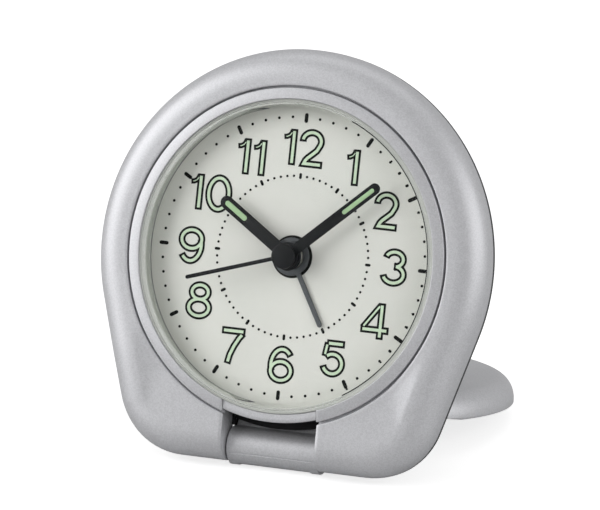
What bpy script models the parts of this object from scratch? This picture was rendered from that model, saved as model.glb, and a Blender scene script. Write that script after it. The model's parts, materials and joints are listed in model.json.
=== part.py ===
"""Folding travel alarm clock: case, lens, dial, hands, quartz movement, battery bay and fold-under lid.

Everything is drawn in the clock's own frame (X right, Y up the dial, Z out of the dial, millimetres,
dial face at Z = 0) and then leaned back and stood on the table.
"""
import bpy
import bmesh
import math
from mathutils import Matrix, Vector

# ------------------------------------------------------------------ driving dimensions (mm, degrees)
MM = 0.001
LEAN = 15.96            # the dial leans back by this much
SEG = 56                # facets on the large round parts

CASE_R = 39.87          # round top of the case
SIDE_TAPER = 16.7       # the sides run in below the middle
CORNER_R = 14.0
CASE_BOTTOM = -40.4
FRAME_BACK = -2.8       # back edge of the front frame
LIP_R, LIP_Z = 32.9, 4.1
GROOVE_Z = 1.7
BEZEL_IN, BEZEL_OUT, BEZEL_Z = 30.1, 31.4, 4.5
CUT_HALF = 9.65         # half width of the hinge opening

LENS_R, LENS_TOP, LENS_T = 29.8, 6.2, 0.8
DIAL_R, DIAL_T = 29.3, 0.5
DOT_R = 26.8            # minute ring on the dial

HINGE_Y, HINGE_Z = -37.15, -3.0
BARREL_R, COLLAR_R, BARREL_HALF = 3.65, 3.85, 9.35
PIN_R, CLEAR = 1.0, 0.3
LUG_R, LUG_END = 3.2, 14.2

LID_R, LID_IN, LID_RISE, LID_DOME = 32.5, 5.6, 5.0, 0.8
LID_C = -HINGE_Y        # lid centre sits over the dial centre when closed
LID_OPEN = 278.36       # turned this far from closed in the rest pose

REAR_R = 38.97
BACK_Z = -20.8
WALL = 1.8
DECK_Y, DECK_SLOPE = -24.6, 0.15      # underside of the rear body, above the folded lid

# wheel positions (x, y), tooth counts and modules
MOTION = (-8.660, 5.0)
THIRD = (5.400, 9.353)
FIFTH = (-9.454, 1.667)
ROTOR = (-13.285, 12.193)
TIME_SET = (-18.527, 8.591)
ALARM_SET = (13.236, -2.334)

HOUR_ANGLE, MINUTE_ANGLE, SECOND_ANGLE, ALARM_ANGLE = 303.6, 48.5, 252.9, 150.0

SCREWS = [(24.2, 24.2), (-24.2, 24.2), (26.5, -31.5), (-26.5, -31.5)]

for ob in list(bpy.data.objects):
    bpy.data.objects.remove(ob, do_unlink=True)

PARTS = bpy.data.collections.new("travel_alarm_clock")
CUTTERS = bpy.data.collections.new("cutters")
for coll in (PARTS, CUTTERS):
    bpy.context.scene.collection.children.link(coll)

STAND = Matrix.Rotation(math.radians(90.0 - LEAN), 4, 'X')


# ------------------------------------------------------------------ materials
def material(name, colour, metallic=0.0, rough=0.5, alpha=1.0):
    mat = bpy.data.materials.new(name)
    mat.use_nodes = True
    bsdf = mat.node_tree.nodes["Principled BSDF"]
    bsdf.inputs["Base Color"].default_value = (*colour, 1.0)
    bsdf.inputs["Metallic"].default_value = metallic
    bsdf.inputs["Roughness"].default_value = rough
    bsdf.inputs["Alpha"].default_value = alpha
    return mat


LOOKS = {
    "silver_paint": material("silver_paint", (0.56, 0.56, 0.60), 0.35, 0.38),
    "dark_plastic": material("dark_plastic", (0.06, 0.062, 0.068), 0.0, 0.5),
    "clear_plastic": material("clear_plastic", (0.95, 0.97, 0.96), 0.0, 0.05, 0.35),
    "cream_plastic": material("cream_plastic", (0.80, 0.79, 0.70), 0.0, 0.45),
    "dial_white": material("dial_white", (0.80, 0.81, 0.76), 0.0, 0.6),
    "hand_black": material("hand_black", (0.02, 0.022, 0.025), 0.1, 0.35),
    "hand_grey": material("hand_grey", (0.16, 0.17, 0.18), 0.3, 0.4),
    "lume": material("lume", (0.62, 0.82, 0.52), 0.0, 0.6),
    "gear_plastic": material("gear_plastic", (0.75, 0.75, 0.72), 0.0, 0.45),
    "movement_plastic": material("movement_plastic", (0.10, 0.10, 0.11), 0.0, 0.55),
    "steel": material("steel", (0.62, 0.62, 0.63), 1.0, 0.25),
    "copper": material("copper", (0.70, 0.32, 0.18), 1.0, 0.3),
    "brass": material("brass", (0.78, 0.60, 0.28), 1.0, 0.3),
    "board_green": material("board_green", (0.05, 0.28, 0.14), 0.0, 0.5),
    "magnet": material("magnet", (0.18, 0.17, 0.17), 0.4, 0.4),
    "battery_wrap": material("battery_wrap", (0.10, 0.12, 0.20), 0.2, 0.35),
    "switch_grey": material("switch_grey", (0.30, 0.30, 0.32), 0.0, 0.45),
}


# ------------------------------------------------------------------ helpers
def pose(origin=(0, 0, 0), turn=0.0, tip=0.0):
    """World matrix of a clock-frame point; turn spins clockwise seen from the front, tip is about X."""
    at = Matrix.Translation(Vector(origin) * MM)
    spin = Matrix.Rotation(-math.radians(turn), 4, 'Z')
    return STAND @ at @ Matrix.Rotation(math.radians(tip), 4, 'X') @ spin


def add(name, mesh, look=None, at=None):
    ob = bpy.data.objects.new(name, mesh)
    if look is None:
        CUTTERS.objects.link(ob)
        ob.hide_render = True
        ob.display_type = 'WIRE'
    else:
        PARTS.objects.link(ob)
        mesh.materials.append(LOOKS[look])
    ob.matrix_world = at or pose()
    return ob


def wire_mesh(name, points, closed=True):
    mesh = bpy.data.meshes.new(name)
    n = len(points)
    edges = [(i, (i + 1) % n) for i in range(n if closed else n - 1)]
    mesh.from_pydata([(r * MM, 0.0, z * MM) for r, z in points], edges, [])
    return mesh


def lathe(name, profile, look=None, at=None, steps=SEG, closed=True):
    """Turned part: profile (r, z) drawn down its outer side; open profiles start and end on the axis."""
    ob = add(name, wire_mesh(name, profile, closed), look, at)
    screw = ob.modifiers.new("turn", 'SCREW')
    screw.axis = 'Z'
    screw.steps = steps
    screw.render_steps = steps
    screw.use_smooth_shade = steps >= 20
    screw.use_merge_vertices = True
    screw.merge_threshold = 0.00001
    return ob


def ring(name, r_in, r_out, z0, z1, look=None, at=None, steps=SEG):
    return lathe(name, [(r_out, z1), (r_out, z0), (r_in, z0), (r_in, z1)], look, at, steps)


def rod(name, r, z0, z1, look=None, at=None, steps=24):
    return lathe(name, [(0, z1), (r, z1), (r, z0), (0, z0)], look, at, steps, closed=False)


def flat(name, loops, z0, z1, look=None, at=None):
    """Plate cut from closed outlines (first outer, the rest holes), between two heights."""
    curve = bpy.data.curves.new(name, 'CURVE')
    curve.dimensions = '2D'
    curve.fill_mode = 'BOTH'
    curve.extrude = (z1 - z0) / 2 * MM
    curve.render_resolution_u = 0
    for loop in loops:
        spline = curve.splines.new('POLY')
        spline.points.add(len(loop) - 1)
        for point, (x, y) in zip(spline.points, loop):
            point.co = (x * MM, y * MM, 0.0, 1.0)
        spline.use_cyclic_u = True
    temp = bpy.data.objects.new(name + "_curve", curve)
    bpy.context.scene.collection.objects.link(temp)
    bpy.context.view_layer.update()
    mesh = bpy.data.meshes.new_from_object(temp.evaluated_get(bpy.context.evaluated_depsgraph_get()))
    bpy.data.objects.remove(temp, do_unlink=True)
    mesh.materials.clear()
    work = bmesh.new()
    work.from_mesh(mesh)
    bmesh.ops.remove_doubles(work, verts=work.verts, dist=1e-7)
    bmesh.ops.translate(work, verts=work.verts, vec=(0, 0, (z0 + z1) / 2 * MM))
    bmesh.ops.recalc_face_normals(work, faces=work.faces)
    work.to_mesh(mesh)
    work.free()
    return add(name, mesh, look, at)


def block(name, x, y, z, look=None, at=None, round_edges=0.0):
    """Box between the given (low, high) limits."""
    mesh = bpy.data.meshes.new(name)
    work = bmesh.new()
    size = Vector((x[1] - x[0], y[1] - y[0], z[1] - z[0])) * MM
    mid = Vector((x[0] + x[1], y[0] + y[1], z[0] + z[1])) * MM / 2
    bmesh.ops.create_cube(work, size=1.0)
    bmesh.ops.scale(work, vec=size, verts=work.verts)
    bmesh.ops.translate(work, vec=mid, verts=work.verts)
    work.to_mesh(mesh)
    work.free()
    ob = add(name, mesh, look, at)
    if round_edges:
        bevel = ob.modifiers.new("soften", 'BEVEL')
        bevel.width = round_edges * MM
        bevel.segments = 2
        bevel.limit_method = 'ANGLE'
    return ob


def combine(ob, others, operation):
    for other in others:
        mod = ob.modifiers.new(other.name, 'BOOLEAN')
        mod.operation = operation
        mod.solver = 'EXACT'
        mod.object = other
    return ob


def cut(ob, *others):
    return combine(ob, others, 'DIFFERENCE')


def join(ob, *others):
    return combine(ob, others, 'UNION')


def circle(r, n=24, centre=(0, 0), start=0.0):
    return [(centre[0] + r * math.cos(start + 2 * math.pi * i / n),
             centre[1] + r * math.sin(start + 2 * math.pi * i / n)) for i in range(n)]


def bar(half, y0, y1, n=6):
    """Straight hand outline with a rounded tip at y1."""
    tip = [(half * math.cos(math.pi * i / n), y1 - half + half * math.sin(math.pi * i / n))
           for i in range(n + 1)]
    return [(-half, y0), (half, y0)] + tip


def hand_outline(hub, half, tip, n=28):
    """Round hub with a parallel-sided bar and rounded tip, pointing up +Y."""
    a0 = math.asin(half / hub)
    hub_arc = [(hub * math.sin(a), hub * math.cos(a))
               for a in (2 * math.pi - a0 - (2 * math.pi - 2 * a0) * i / n for i in range(n + 1))]
    tip_arc = [(half * math.cos(math.pi * i / 6), tip - half + half * math.sin(math.pi * i / 6))
               for i in range(7)]
    return hub_arc + tip_arc


def gear_outline(teeth, module, phase=0.0):
    """Straight-flanked teeth; a tooth points along the phase direction (radians from +X)."""
    r = teeth * module / 2
    pitch = 2 * math.pi / teeth
    points = []
    for k in range(teeth):
        a = phase + k * pitch
        for radius, offset in ((r - 0.95 * module, -0.30), (r + 0.72 * module, -0.13),
                               (r + 0.72 * module, 0.13), (r - 0.95 * module, 0.30)):
            points.append((radius * math.cos(a + offset * pitch), radius * math.sin(a + offset * pitch)))
    return points


def toward(a, b):
    return math.atan2(b[1] - a[1], b[0] - a[0])


def gear(name, teeth, module, z0, z1, phase, bore=0.0, look=None, at=None):
    loops = [gear_outline(teeth, module, phase)]
    if bore:
        loops.append(circle(bore, 16))
    return flat(name, loops, z0, z1, look, at)


# ------------------------------------------------------------------ case outline
def case_outline():
    """(point, outward normal) all round the horseshoe, clockwise from the top."""
    a0 = math.radians(90.0 + SIDE_TAPER)
    half = [((CASE_R * math.sin(a), CASE_R * math.cos(a)), (math.sin(a), math.cos(a)))
            for a in (a0 * i / 15 for i in range(16))]
    n0 = half[-1][1]
    cy = CASE_BOTTOM + CORNER_R
    cx = (CASE_R - CORNER_R - n0[1] * cy) / n0[0]
    start = (cx + CORNER_R * n0[0], cy + CORNER_R * n0[1])
    top = half[-1][0]
    for i in (1, 2):
        half.append(((top[0] + (start[0] - top[0]) * i / 3, top[1] + (start[1] - top[1]) * i / 3), n0))
    for i in range(7):
        a = a0 + (math.pi - a0) * i / 6
        half.append(((cx + CORNER_R * math.sin(a), cy + CORNER_R * math.cos(a)),
                     (math.sin(a), math.cos(a))))
    for x in (16.0, 14.6, 5.0):
        half.append(((x, CASE_BOTTOM), (0.0, -1.0)))
    mirror = [((-p[0], p[1]), (-n[0], n[1])) for p, n in half[1:]][::-1]
    return half + [((0.0, CASE_BOTTOM), (0.0, -1.0))] + mirror


OUTLINE = case_outline()


def offset_outline(d):
    """Corner points of the outline moved inward by d, leaving out points along straight runs."""
    points = [(p[0] - n[0] * d, p[1] - n[1] * d) for p, n in OUTLINE]
    kept = []
    for i, here in enumerate(points):
        before, after = points[i - 1], points[(i + 1) % len(points)]
        turn = ((here[0] - before[0]) * (after[1] - here[1]) - (here[1] - before[1]) * (after[0] - here[0]))
        if abs(turn) > 1e-6:
            kept.append(here)
    return kept


def loft(name, sections, look=None):
    """Closed tube of equal closed sections."""
    count = len(sections[0])
    verts = [tuple(c * MM for c in point) for section in sections for point in section]
    faces = []
    for i in range(len(sections)):
        j = (i + 1) % len(sections)
        for k in range(count):
            m = (k + 1) % count
            faces.append((i * count + k, i * count + m, j * count + m, j * count + k))
    mesh = bpy.data.meshes.new(name)
    mesh.from_pydata(verts, [], faces)
    work = bmesh.new()
    work.from_mesh(mesh)
    bmesh.ops.triangulate(work, faces=work.faces)
    bmesh.ops.recalc_face_normals(work, faces=work.faces)
    work.to_mesh(mesh)
    work.free()
    return add(name, mesh, look)


def x_rod(name, r, x0, x1, y, z, look=None, steps=32):
    """Rod lying along X."""
    lay = STAND @ Matrix.Translation(Vector((0, y, z)) * MM) @ Matrix.Rotation(math.pi / 2, 4, 'Y')
    return rod(name, r, x0, x1, look, lay, steps)


# ------------------------------------------------------------------ front frame
def frame_section(point, normal):
    """One slice of the front frame: bezel ring, lid groove, lip, rounded front, skirt and hollow back."""
    turn = math.atan2(point[0], point[1])
    low = min(1.0, max(0.0, (-point[1] - 22.0) / 15.0))     # the face drops away towards the foot

    def at_r(r, z):
        return (r * math.sin(turn), r * math.cos(turn), z)

    def at_d(d, z):
        return (point[0] - normal[0] * d, point[1] - normal[1] * d, z)

    section = [at_r(BEZEL_IN, 3.3), at_r(BEZEL_IN, 4.25), at_r(30.35, BEZEL_Z), at_r(30.9, 4.4),
               at_r(31.25, 4.0), at_r(BEZEL_OUT, 3.3), at_r(BEZEL_OUT, GROOVE_Z), at_r(LIP_R, GROOVE_Z),
               at_r(LIP_R, LIP_Z - 0.15 - 0.6 * low), at_r(LIP_R + 0.15, LIP_Z - 0.6 * low)]
    for k in range(6):
        a = math.radians(90.0 * k / 5)
        section.append(at_d(5.2 - 5.2 * math.sin(a), -1.1 - 0.4 * low + (4.6 - 0.8 * low) * math.cos(a)))
    section += [at_d(0.0, FRAME_BACK)]
    if abs(point[0]) < 15.0 and point[1] < -30.0:
        back = FRAME_BACK
        section += [at_d(2.0, back), at_d(2.6, back), at_d(3.4, back), at_d(5.2, back),
                    at_r(34.1, back), at_r(32.5, back), at_r(31.0, 0.7)]
    else:
        section += [at_d(2.0, FRAME_BACK), at_d(2.05, -0.9), at_d(3.2, 0.9), at_d(5.3, 1.8),
                    at_r(34.1, 1.8), at_r(34.0, 0.7), at_r(31.0, 0.7)]
    return section + [at_r(31.0, 3.3)]


frame = loft("front_frame", [frame_section(p, n) for p, n in OUTLINE], "silver_paint")
join(frame, x_rod("hinge_lugs", LUG_R, -LUG_END, LUG_END, HINGE_Y, HINGE_Z, steps=28))
cut(frame, block("hinge_opening", (-CUT_HALF, CUT_HALF), (-48, -22), (-12, 12)))
for i, (x, y) in enumerate(SCREWS):
    base = -5.0 if y > 0 else FRAME_BACK
    join(frame, rod("frame_boss_%d" % i, 2.1, base, 1.2 if y > 0 else 2.2, at=pose((x, y, 0)), steps=16))
    cut(frame, rod("frame_boss_hole_%d" % i, 1.1, base - 1, 0.5, at=pose((x, y, 0)), steps=12))
cut(frame, x_rod("pin_bore_frame", PIN_R + CLEAR, -17, 17, HINGE_Y, HINGE_Z, steps=20))

# ------------------------------------------------------------------ lens, dial and its wall
lens = lathe("lens", [(0, LENS_TOP), (28.4, LENS_TOP), (29.2, 5.95), (29.65, 5.3), (LENS_R, 4.3), (LENS_R, 0.4),
                      (29.35, 0.4), (29.3, 4.9), (28.7, LENS_TOP - LENS_T), (0, LENS_TOP - LENS_T)],
             "clear_plastic", closed=False)
ring("dial_wall", 30.1, 30.65, -0.5, 2.95, "cream_plastic")
ring("dial", 2.45, DIAL_R, -DIAL_T, 0.0, "dial_white")

holder = ring("movement_holder", 2.6, 30.0, -2.4, -0.85, "silver_paint")
segment = ring("holder_lip", 30.95, 31.75, -2.4, 3.5, steps=80)
cut(segment, block("holder_lip_trim_a", (-45, -9.3), (-45, 45), (-8, 8)),
    block("holder_lip_trim_b", (9.3, 45), (-45, 45), (-8, 8)),
    block("holder_lip_trim_c", (-20, 20), (-20, 45), (-8, 8)))
bridge = ring("holder_bridge", 29.0, 31.4, -2.4, -0.85, steps=80)
cut(bridge, block("holder_bridge_trim_a", (-45, -9.2), (-45, 45), (-8, 8)),
    block("holder_bridge_trim_b", (9.2, 45), (-45, 45), (-8, 8)),
    block("holder_bridge_trim_c", (-20, 20), (-20, 45), (-8, 8)))
join(holder, bridge, segment)

# ------------------------------------------------------------------ hands on their pipes
flat("alarm_hand", [hand_outline(3.6, 0.5, 14.8), circle(2.45, 24)], 0.3, 0.55, "hand_grey",
     pose(turn=ALARM_ANGLE))
flat("hour_hand", [hand_outline(2.75, 1.27, 17.6), circle(1.85, 20), bar(0.8, 10.8, 16.8)[::-1]],
     2.2, 2.55, "hand_black", pose(turn=HOUR_ANGLE))
flat("hour_lume", [bar(0.5, 11.1, 16.5)], 2.2, 2.55, "lume", pose(turn=HOUR_ANGLE))
flat("minute_hand", [hand_outline(2.3, 1.08, 23.1), circle(1.25, 24), bar(0.72, 13.8, 22.1)[::-1]],
     2.95, 3.27, "hand_black", pose(turn=MINUTE_ANGLE))
flat("minute_lume", [bar(0.42, 14.1, 21.8)], 2.95, 3.27, "lume", pose(turn=MINUTE_ANGLE))
flat("second_hand", [hand_outline(1.2, 0.38, 20.7), circle(0.65, 16)], 4.2, 4.4, "hand_black",
     pose(turn=SECOND_ANGLE))
lathe("second_cap", [(0, 5.1), (2.05, 5.1), (2.4, 4.9), (2.4, 4.7), (0, 4.7)], "hand_black",
      pose(turn=SECOND_ANGLE), 32, closed=False)


def pipe(name, r_in, r_out, z0, z1, look, wheels=(), turn=0.0):
    """Hollow pipe carrying one or two toothed wheels."""
    body = ring(name, r_in, r_out, z0 - 0.1, z1, look, pose(turn=turn), 24)
    for i, (teeth, module, w0, w1, phase) in enumerate(wheels):
        join(body, gear("%s_teeth_%d" % (name, i), teeth, module, w0, w1, phase, (r_in + r_out) / 2,
                        at=pose()))
    return body


O = (0.0, 0.0)
pipe("alarm_pipe", 1.85, 2.15, -3.8, 0.55, "gear_plastic", [(40, 0.42, -3.8, -3.0, toward(O, ALARM_SET))])
pipe("hour_pipe", 1.25, 1.55, -5.0, 2.5, "gear_plastic", [(32, 0.5, -5.0, -4.2, toward(O, MOTION))])
pipe("minute_pipe", 0.65, 0.95, -7.4, 3.2, "brass", [(10, 0.5, -6.2, -5.4, toward(O, MOTION))])
pipe("centre_wheel", 1.25, 1.8, -7.4, -6.6, "gear_plastic", [(45, 0.4235, -7.4, -6.7, toward(O, THIRD))])
second_arbor = rod("second_arbor", 0.35, -9.9, 4.4, "steel", steps=16)
join(second_arbor, gear("second_pinion", 6, 0.4, -8.6, -7.8, toward(O, THIRD)),
     gear("second_wheel", 40, 0.4, -9.8, -9.0, toward(O, FIFTH)))


def geared_arbor(name, centre, look, lower, upper, bore=0.9, hub=1.5):
    """Wheel and pinion on one sleeve; each is (teeth, module, z0, z1, phase)."""
    z0, z1 = min(lower[2], upper[2]), max(lower[3], upper[3])
    body = ring(name, bore, hub, z0 - 0.1, z1 + 0.1, look, pose((*centre, 0)), 16)
    for i, (teeth, module, w0, w1, phase) in enumerate((lower, upper)):
        join(body, gear("%s_teeth_%d" % (name, i), teeth, module, w0, w1, phase, (bore + hub) / 2,
                        at=pose((*centre, 0))))
    return body


def gap_phase(centre, mate, teeth):
    """Phase that puts a tooth space on the line to the mate."""
    return toward(centre, mate) + math.pi / teeth


def mesh_phase(centre, teeth, mate, mate_teeth, mate_phase):
    """Phase that drops a tooth of the already placed mate into a tooth space of this wheel."""
    pitch = 2 * math.pi / mate_teeth
    off = (mate_phase - toward(mate, centre) + pitch / 2) % pitch - pitch / 2
    return toward(centre, mate) - off * mate_teeth / teeth + math.pi / teeth


geared_arbor("motion_wheel", MOTION, "gear_plastic",
             (30, 0.5, -6.2, -5.4, gap_phase(MOTION, O, 30)),
             (8, 0.5, -5.7, -4.2, gap_phase(MOTION, O, 8)), bore=0.85, hub=1.3)
geared_arbor("third_wheel", THIRD, "gear_plastic",
             (48, 0.4, -8.6, -7.8, gap_phase(THIRD, O, 48)),
             (6, 0.4235, -8.1, -6.6, gap_phase(THIRD, O, 6)), bore=0.5, hub=0.75)
geared_arbor("fifth_wheel", FIFTH, "gear_plastic",
             (36, 0.5333, -11.0, -10.2, gap_phase(FIFTH, ROTOR, 36)),
             (8, 0.4, -10.5, -9.0, gap_phase(FIFTH, O, 8)), bore=0.7, hub=1.1)
rotor = lathe("rotor", [(2.9, -8.3), (2.9, -9.9), (0.95, -9.9), (0.95, -11.1), (0.6, -11.1), (0.6, -8.3)],
              "magnet", pose((*ROTOR, 0)), 28)
join(rotor, gear("rotor_pinion", 6, 0.5333, -11.0, -9.6, toward(ROTOR, FIFTH), 0.8, at=pose((*ROTOR, 0))))
gear("time_set_wheel", 12, 0.5, -6.2, -5.4,
     mesh_phase(TIME_SET, 12, MOTION, 30, gap_phase(MOTION, O, 30)), 1.0, "gear_plastic",
     pose((*TIME_SET, 0)))
gear("alarm_set_wheel", 24, 0.42, -3.8, -3.0, gap_phase(ALARM_SET, O, 24), 1.0, "gear_plastic",
     pose((*ALARM_SET, 0)))

# ------------------------------------------------------------------ movement back plate, drive and board
plate_outline = [(-23.5, -7.2), (20.5, -7.2), (20.5, 9.0), (14.0, 17.0), (-23.5, 17.0)]
plate = flat("movement_plate", [plate_outline, circle(0.65, 12), circle(1.6, 20, TIME_SET),
                                circle(1.6, 20, ALARM_SET)], -12.4, -11.3, "movement_plastic")
for name, centre, r, top in (("post_third", THIRD, 0.25, -6.8), ("post_fifth", FIFTH, 0.4, -9.2),
                             ("post_rotor", ROTOR, 0.3, -8.5)):
    join(plate, rod(name, r, -11.8, top, at=pose((*centre, 0)), steps=12))
for i, (x, y) in enumerate(((-21.0, -5.4), (-22.0, 4.0), (18.6, 5.5), (-4.5, 15.4))):
    join(plate, rod("pillar_%d" % i, 1.4, -11.8, -2.8, at=pose((x, y, 0)), steps=12))
join(holder, rod("post_motion", 0.55, -5.9, -1.6, at=pose((*MOTION, 0)), steps=12))

flat("stator", [[(-16.0, 8.3), (-6.3, 8.3), (-6.3, 22.5), (-9.3, 22.5), (-9.3, 16.4), (-17.6, 16.4),
                 (-17.6, 22.5), (-20.5, 22.5), (-20.5, 13.4), (-17.6, 10.4)], circle(3.3, 28, ROTOR)],
     -9.6, -8.8, "steel")
COIL_Y, COIL_Z = 20.6, -8.1
block("coil_core", (-20.2, -6.6), (COIL_Y - 1.0, COIL_Y + 1.0), (-8.45, -7.75), "steel")
coil_axis = STAND @ Matrix.Translation(Vector((-13.4, COIL_Y, COIL_Z)) * MM) @ Matrix.Rotation(math.pi / 2, 4, 'Y')
lathe("coil_bobbin", [(3.1, 3.7), (3.1, 3.1), (1.7, 3.1), (1.7, -3.1), (3.1, -3.1), (3.1, -3.7), (1.35, -3.7),
                      (1.35, 3.7)], "cream_plastic", coil_axis, 24)
ring("coil_winding", 2.0, 2.8, -2.8, 2.8, "copper", coil_axis, 24)

board_outline = [(-22.0, -6.5), (22.0, -6.5), (22.0, 16.0), (13.0, 26.0), (-13.0, 26.0), (-22.0, 16.0)]
flat("circuit_board", [board_outline, circle(1.6, 20, TIME_SET), circle(1.6, 20, ALARM_SET)],
     -14.3, -13.3, "board_green")
lathe("chip_blob", [(0, -14.6), (2.6, -14.6), (2.2, -15.2), (1.2, -15.5), (0, -15.6)], "movement_plastic",
      pose((-8.0, 8.0, 0)), 20, closed=False)
x_rod("quartz_can", 1.0, -16.5, -10.5, 18.5, -15.7, "steel", 20)
block("snooze_switch", (-3.0, 3.0), (23.2, 26.2), (-16.9, -14.6), "movement_plastic", round_edges=0.25)
lathe("buzzer", [(0, -16.6), (8.4, -16.6), (8.8, -17.0), (8.8, -18.5), (1.4, -18.5), (1.4, -17.6), (0, -17.6)],
      "movement_plastic", pose((12.5, 12.0, 0)), 40, closed=False)

# ------------------------------------------------------------------ rear case
deck_tip = math.degrees(math.atan(DECK_SLOPE))


def below_deck(name, lift):
    """Everything under the sloping underside of the rear body, raised by lift."""
    return block(name, (-60, 60), (-60, 0), (-60, 60), at=pose((0, DECK_Y + lift, -7.0), tip=deck_tip))


TUB = [(0, -3.7), (38.3, -3.7), (38.2, -5.0), (35.2, -16.0), (34.3, -18.4), (33.2, -20.0), (31.6, BACK_Z),
       (0, BACK_Z)]
HOLLOW = [(0, 2.0), (36.5, 2.0), (36.4, -5.0), (33.4, -16.0), (32.3, -18.2), (31.0, -19.0), (0, -19.0)]
rear = lathe("rear_case", TUB, "dark_plastic", closed=False)
cut(rear, below_deck("deck_outside", 0.0))
join(rear, flat("rear_flange", [offset_outline(0.9)], -4.6, -3.1))
hollow = lathe("rear_hollow", HOLLOW, closed=False)
cut(hollow, below_deck("deck_inside", WALL))
cut(rear, hollow)
solid = lathe("rear_envelope", [(0, -4.0), (37.3, -4.0), (34.3, -16.0), (33.2, -19.9), (0, -19.9)],
              closed=False)
for i, (x, y) in enumerate(SCREWS):
    if y > 0:
        column = rod("screw_column_%d" % i, 3.1, -18.6, -5.3, at=pose((x, y, 0)), steps=16)
        combine(column, [solid], 'INTERSECT')
        join(rear, column)
        cut(rear, rod("screw_well_%d" % i, 2.3, -25, -7.6, at=pose((x, y, 0)), steps=16))
    else:
        cut(rear, rod("screw_seat_%d" % i, 2.3, -8, -3.8, at=pose((x, y, 0)), steps=16))
    cut(rear, rod("screw_way_%d" % i, 1.1, -9, 0, at=pose((x, y, 0)), steps=12))

BAT_Y, BAT_Z, BAT_R = -15.3, -12.6, 5.2
bay = block("battery_bay", (-26.1, 26.1), (-22.2, -8.9), (-17.5, -6.2))
cut(bay, block("bay_inside", (-25.5, 25.5), (-40.0, -9.7), (-30.0, -7.0)))
join(rear, bay)
cut(rear, block("bay_mouth", (-23.0, 23.0), (-20.8, -9.95), (-22, -17)),
    block("door_track", (-23.95, 45), (-21.65, -9.05), (-24, -19.65)),
    block("wheel_notch", (-6.0, 6.0), (-10.25, -8.0), (-7.8, -5.0)),
    block("lug_notch", (-14.6, 14.6), (-48, -33.4), (-12, 0)),
    block("arm_notch", (-CUT_HALF, CUT_HALF), (-48, -26.6), (-6.0, 0)),
    block("snooze_slot", (-8.4, 8.4), (26, 44), (-11.9, -6.6)),
    block("switch_slot", (-6.9, 2.4), (19.6, 23.4), (-22, -18)),
    rod("time_way", 1.6, -22, -18, at=pose((*TIME_SET, 0)), steps=20),
    rod("alarm_way", 1.6, -22, -18, at=pose((*ALARM_SET, 0)), steps=20))
for i in range(5):
    y = 12.0 + 2.6 * (i - 2)
    half = math.sqrt(6.6 ** 2 - (y - 12.0) ** 2)
    cut(rear, block("sound_slot_%d" % i, (12.5 - half, 12.5 + half), (y - 0.5, y + 0.5), (-22, -18)))

# ------------------------------------------------------------------ battery and its door
battery_axis = STAND @ Matrix.Translation(Vector((0, BAT_Y, BAT_Z)) * MM) @ Matrix.Rotation(math.pi / 2, 4, 'Y')
lathe("battery", [(0, 22.0), (1.8, 22.0), (1.9, 21.1), (4.7, 21.0), (BAT_R, 20.6), (BAT_R, -21.6), (4.8, -22.0),
                  (0, -22.0)], "battery_wrap", battery_axis, 32, closed=False)
flat("battery_plus", [[(-18.6, -15.4), (-12.0, -15.4), (-12.0, -9.8), (-18.6, -9.8)]], -0.2, 0.2, "steel",
     STAND @ Matrix.Translation(Vector((22.75, 0, 0)) * MM) @ Matrix(((0, 0, 1), (1, 0, 0), (0, 1, 0))).to_4x4())
flat("battery_minus", [[(-18.6, -15.4), (-12.0, -15.4), (-12.0, -9.8), (-18.6, -9.8)]], -0.2, 0.2, "steel",
     STAND @ Matrix.Translation(Vector((-25.0, 0, 0)) * MM) @ Matrix(((0, 0, 1), (1, 0, 0), (0, 1, 0))).to_4x4())
spring_curve = bpy.data.curves.new("battery_spring", 'CURVE')
spring_curve.dimensions = '3D'
spring_curve.bevel_depth = 0.2 * MM
spring_curve.bevel_resolution = 1
spring_curve.render_resolution_u = 0
spring_curve.use_fill_caps = True
spline = spring_curve.splines.new('POLY')
turns, per_turn = 3, 10
spline.points.add(turns * per_turn)
for k, point in enumerate(spline.points):
    share = k / (turns * per_turn)
    a = 2 * math.pi * k / per_turn
    r = 2.7 - 1.4 * share
    point.co = (r * math.cos(a) * MM, r * math.sin(a) * MM, (0.25 + 1.95 * share) * MM, 1.0)
spring = bpy.data.objects.new("battery_spring", spring_curve)
PARTS.objects.link(spring)
spring_curve.materials.append(LOOKS["steel"])
spring.matrix_world = (STAND @ Matrix.Translation(Vector((-24.6, BAT_Y, BAT_Z)) * MM)
                       @ Matrix.Rotation(math.pi / 2, 4, 'Y'))

door = block("battery_door", (-23.6, 23.9), (-21.3, -9.4), (-20.7, -19.95), "dark_plastic")
for i in range(4):
    join(door, block("door_grip_%d" % i, (14.0 + 2.2 * i, 15.0 + 2.2 * i), (-18.6, -12.1), (-21.2, -20.4)))

# ------------------------------------------------------------------ knobs, switch and snooze bar
for name, centre, top, seat, r in (("time_set_knob", TIME_SET, -5.5, -6.6, 5.0),
                                   ("alarm_set_knob", ALARM_SET, -3.1, -4.1, 4.4)):
    grip = [(rr * math.cos(2 * math.pi * (k + 0.5) / 36), rr * math.sin(2 * math.pi * (k + 0.5) / 36))
            for k, rr in ((k, r if k % 2 else r - 0.3) for k in range(36))]
    knob = rod(name, 1.2, -21.6, seat, "dark_plastic", pose((*centre, 0)), 20)
    join(knob, flat(name + "_grip", [grip], -24.0, -21.2, at=pose((*centre, 0))),
         rod(name + "_end", 0.7, seat - 1, top, at=pose((*centre, 0)), steps=16))

switch = block("alarm_switch", (-6.5, -1.6), (20.0, 23.0), (-22.2, -18.2), "switch_grey", round_edges=0.2)
join(switch, block("alarm_switch_slide", (-8.6, 0.4), (19.0, 24.0), (-18.7, -17.9)))
snooze = block("snooze_button", (-8.0, 8.0), (31.0, 38.3), (-11.5, -7.0), "dark_plastic", round_edges=0.4)
join(snooze, block("snooze_flange", (-9.2, 9.2), (31.4, 32.7), (-12.2, -6.2)),
     block("snooze_stem", (-1.5, 1.5), (27.4, 32.0), (-16.4, -7.6)))

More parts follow.
